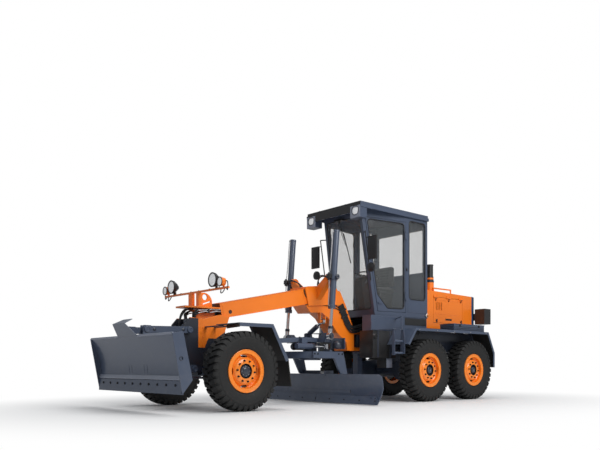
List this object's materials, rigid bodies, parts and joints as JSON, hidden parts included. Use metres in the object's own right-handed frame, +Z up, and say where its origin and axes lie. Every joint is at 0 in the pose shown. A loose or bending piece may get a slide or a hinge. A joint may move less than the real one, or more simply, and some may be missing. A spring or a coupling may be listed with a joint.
{
  "type": "motor grader",
  "caption": "Light articulated motor grader with a glazed cab over the frame hinge, tandem rear wheels, a turning moldboard under the boom and a dozer blade on a parallel linkage.",
  "frame": {"origin": "on the ground, at the middle of the overall box", "axes": "+X forward along the machine, +Y to its left, +Z up"},
  "size_m": [7.716, 3.04, 3.44],
  "materials": {
    "orange_paint": "satin",
    "blue_paint": "satin",
    "black_paint": "satin",
    "tyre": "matte",
    "chrome": "polished",
    "glass": "polished",
    "engine_iron": "matte",
    "seat_fabric": "matte",
    "cab_plastic": "matte",
    "black_plastic": "satin"
  },
  "bodies": {
    "rear_body": {"rear_frame": "blue_paint", "tandem_axle": "blue_paint", "engine_block": "engine_iron", "hood": "orange_paint", "tail_panel": "black_paint", "exhaust": "black_paint", "exhaust_base": "orange_paint", "rear_fenders": "blue_paint", "tanks": "black_paint", "steps": "blue_paint", "cab_frame": "blue_paint", "cab_roof": "blue_paint", "cab_glass": "glass", "seat_pads": "seat_fabric", "controls": "cab_plastic", "steering_wheel": "cab_plastic", "mirrors": "black_plastic"},
    "front_body": {"front_frame": "orange_paint", "saddle": "orange_paint", "light_bar": "orange_paint", "head_lamps": "black_plastic", "front_markers": "orange_paint", "front_axle": "blue_paint", "front_fenders": "blue_paint"},
    "door_left": {"door_left": "blue_paint", "door_glass_left": "glass"},
    "hood_lid_left": {"hood_lid_left": "orange_paint"},
    "knuckle_left": {"knuckle_left": "blue_paint"},
    "door_right": {"door_right": "blue_paint", "door_glass_right": "glass"},
    "hood_lid_right": {"hood_lid_right": "orange_paint"},
    "knuckle_right": {"knuckle_right": "blue_paint"},
    "wheel_front_left": {"tyre_front_left": "tyre", "rim_front_left": "orange_paint"},
    "wheel_front_right": {"tyre_front_right": "tyre", "rim_front_right": "orange_paint"},
    "wheel_mid_left": {"tyre_mid_left": "tyre", "rim_mid_left": "orange_paint"},
    "wheel_mid_right": {"tyre_mid_right": "tyre", "rim_mid_right": "orange_paint"},
    "wheel_rear_left": {"tyre_rear_left": "tyre", "rim_rear_left": "orange_paint"},
    "wheel_rear_right": {"tyre_rear_right": "tyre", "rim_rear_right": "orange_paint"},
    "tie_rod": {"tie_rod": "blue_paint"},
    "drawbar": {"drawbar": "blue_paint"},
    "circle": {"circle": "blue_paint"},
    "turn_rod": {"turn_rod": "chrome"},
    "moldboard": {"moldboard": "blue_paint"},
    "lift_barrels": {"lift_barrels": "blue_paint"},
    "lift_rods": {"lift_rods": "chrome"},
    "swing_barrel": {"swing_barrel": "blue_paint"},
    "swing_rod": {"swing_rod": "chrome"},
    "dozer_blade": {"dozer_blade": "blue_paint"},
    "upper_links": {"upper_links": "blue_paint"},
    "push_arms": {"push_arms": "blue_paint"},
    "dozer_barrel": {"dozer_barrel": "blue_paint"},
    "dozer_rod": {"dozer_rod": "chrome"}
  },
  "joints": [
    {"name": "articulation", "type": "hinge", "parent": "rear_body", "child": "front_body", "pos_m": [-0.82, 0, 1.085], "axis": [0, 0, 1], "range_deg": [-20, 20]},
    {"name": "spin_mid_left", "type": "hinge", "parent": "rear_body", "child": "wheel_mid_left", "pos_m": [-1.494, 1.018, 0.557], "axis": [0, 1, 0], "continuous": true},
    {"name": "spin_mid_right", "type": "hinge", "parent": "rear_body", "child": "wheel_mid_right", "pos_m": [-1.494, -1.018, 0.557], "axis": [0, 1, 0], "continuous": true},
    {"name": "spin_rear_left", "type": "hinge", "parent": "rear_body", "child": "wheel_rear_left", "pos_m": [-2.806, 1.018, 0.557], "axis": [0, 1, 0], "continuous": true},
    {"name": "spin_rear_right", "type": "hinge", "parent": "rear_body", "child": "wheel_rear_right", "pos_m": [-2.806, -1.018, 0.557], "axis": [0, 1, 0], "continuous": true},
    {"name": "steer_left", "type": "hinge", "parent": "front_body", "child": "knuckle_left", "pos_m": [2.52, 0.79, 0.557], "axis": [0, 0, 1], "range_deg": [-35, 35]},
    {"name": "spin_front_left", "type": "hinge", "parent": "knuckle_left", "child": "wheel_front_left", "pos_m": [2.52, 1.018, 0.557], "axis": [0, 1, 0], "continuous": true},
    {"name": "steer_right", "type": "hinge", "parent": "front_body", "child": "knuckle_right", "pos_m": [2.52, -0.79, 0.557], "axis": [0, 0, 1], "range_deg": [-35, 35]},
    {"name": "spin_front_right", "type": "hinge", "parent": "knuckle_right", "child": "wheel_front_right", "pos_m": [2.52, -1.018, 0.557], "axis": [0, 1, 0], "continuous": true},
    {"name": "tie_rod_slide", "type": "slide", "parent": "front_body", "child": "tie_rod", "axis": [0, 1, 0], "range_m": [-0.15, 0.15]},
    {"name": "drawbar_lift", "type": "hinge", "parent": "front_body", "child": "drawbar", "pos_m": [2.12, 0, 0.96], "axis": [0, 1, 0], "range_deg": [0, 5]},
    {"name": "lift_barrels_swing", "type": "hinge", "parent": "front_body", "child": "lift_barrels", "pos_m": [0.318, 0, 2.103], "axis": [0, 1, 0], "range_deg": [-3, 3]},
    {"name": "lift_rods_slide", "type": "slide", "parent": "lift_barrels", "child": "lift_rods", "axis": [0.0835, 0, -0.9965], "range_m": [-0.15, 0.01]},
    {"name": "swing_barrel_pivot", "type": "hinge", "parent": "drawbar", "child": "swing_barrel", "pos_m": [0.18, -0.26, 1.17], "axis": [1, 0, 0], "range_deg": [-25, 2]},
    {"name": "swing_rod_slide", "type": "slide", "parent": "swing_barrel", "child": "swing_rod", "axis": [0, 0.8669, 0.4985], "range_m": [-0.07, 0.01]},
    {"name": "circle_turn", "type": "hinge", "parent": "drawbar", "child": "circle", "pos_m": [0.35, 0, 0.815], "axis": [0, 0, 1], "range_deg": [-25, 25]},
    {"name": "turn_rod_slide", "type": "slide", "parent": "drawbar", "child": "turn_rod", "axis": [1, 0, 0], "range_m": [-0.175, 0.175]},
    {"name": "moldboard_shift", "type": "slide", "parent": "circle", "child": "moldboard", "axis": [0, 1, 0], "range_m": [-0.2, 0.2]},
    {"name": "door_left_swing", "type": "hinge", "parent": "rear_body", "child": "door_left", "pos_m": [-1.393, 0.664, 2.45], "axis": [0, 0, 1], "range_deg": [0, 85]},
    {"name": "door_right_swing", "type": "hinge", "parent": "rear_body", "child": "door_right", "pos_m": [-1.393, -0.664, 2.45], "axis": [0, 0, -1], "range_deg": [0, 85]},
    {"name": "hood_lid_left_swing", "type": "hinge", "parent": "rear_body", "child": "hood_lid_left", "pos_m": [-2.811, 0.5595, 1.959], "axis": [1, 0, 0], "range_deg": [0, 90]},
    {"name": "hood_lid_right_swing", "type": "hinge", "parent": "rear_body", "child": "hood_lid_right", "pos_m": [-2.811, -0.5595, 1.959], "axis": [-1, 0, 0], "range_deg": [0, 90]},
    {"name": "push_arms_lift", "type": "hinge", "parent": "front_body", "child": "push_arms", "pos_m": [2.8, 0, 0.59], "axis": [0, -1, 0], "range_deg": [-20, 10]},
    {"name": "upper_links_swing", "type": "hinge", "parent": "front_body", "child": "upper_links", "pos_m": [2.88, 0, 1.15], "axis": [0, -1, 0], "range_deg": [-20, 10]},
    {"name": "dozer_blade_tilt", "type": "hinge", "parent": "push_arms", "child": "dozer_blade", "pos_m": [3.49, 0, 0.575], "axis": [0, -1, 0], "range_deg": [-10, 20]},
    {"name": "dozer_barrel_swing", "type": "hinge", "parent": "front_body", "child": "dozer_barrel", "pos_m": [2.775, 0, 1.285], "axis": [0, -1, 0], "range_deg": [-5, 5]},
    {"name": "dozer_rod_slide", "type": "slide", "parent": "dozer_barrel", "child": "dozer_rod", "axis": [0.5786, 0, -0.8156], "range_m": [-0.07, 0.135]}
  ],
  "couplings": [
    {"joint": "steer_right", "follows": "steer_left", "ratio": 1},
    {"joint": "tie_rod_slide", "follows": "steer_left", "m_per_rad": -0.2347},
    {"joint": "lift_barrels_swing", "follows": "drawbar_lift", "ratio": -0.4324},
    {"joint": "lift_rods_slide", "follows": "drawbar_lift", "m_per_rad": -1.6898},
    {"joint": "swing_barrel_pivot", "follows": "drawbar_lift", "ratio": -4.164},
    {"joint": "swing_rod_slide", "follows": "drawbar_lift", "m_per_rad": -0.7043},
    {"joint": "turn_rod_slide", "follows": "circle_turn", "m_per_rad": -0.383},
    {"joint": "upper_links_swing", "follows": "push_arms_lift", "ratio": 1},
    {"joint": "dozer_blade_tilt", "follows": "push_arms_lift", "ratio": -1},
    {"joint": "dozer_barrel_swing", "follows": "push_arms_lift", "ratio": 0.2},
    {"joint": "dozer_rod_slide", "follows": "push_arms_lift", "m_per_rad": -0.3696}
  ]
}
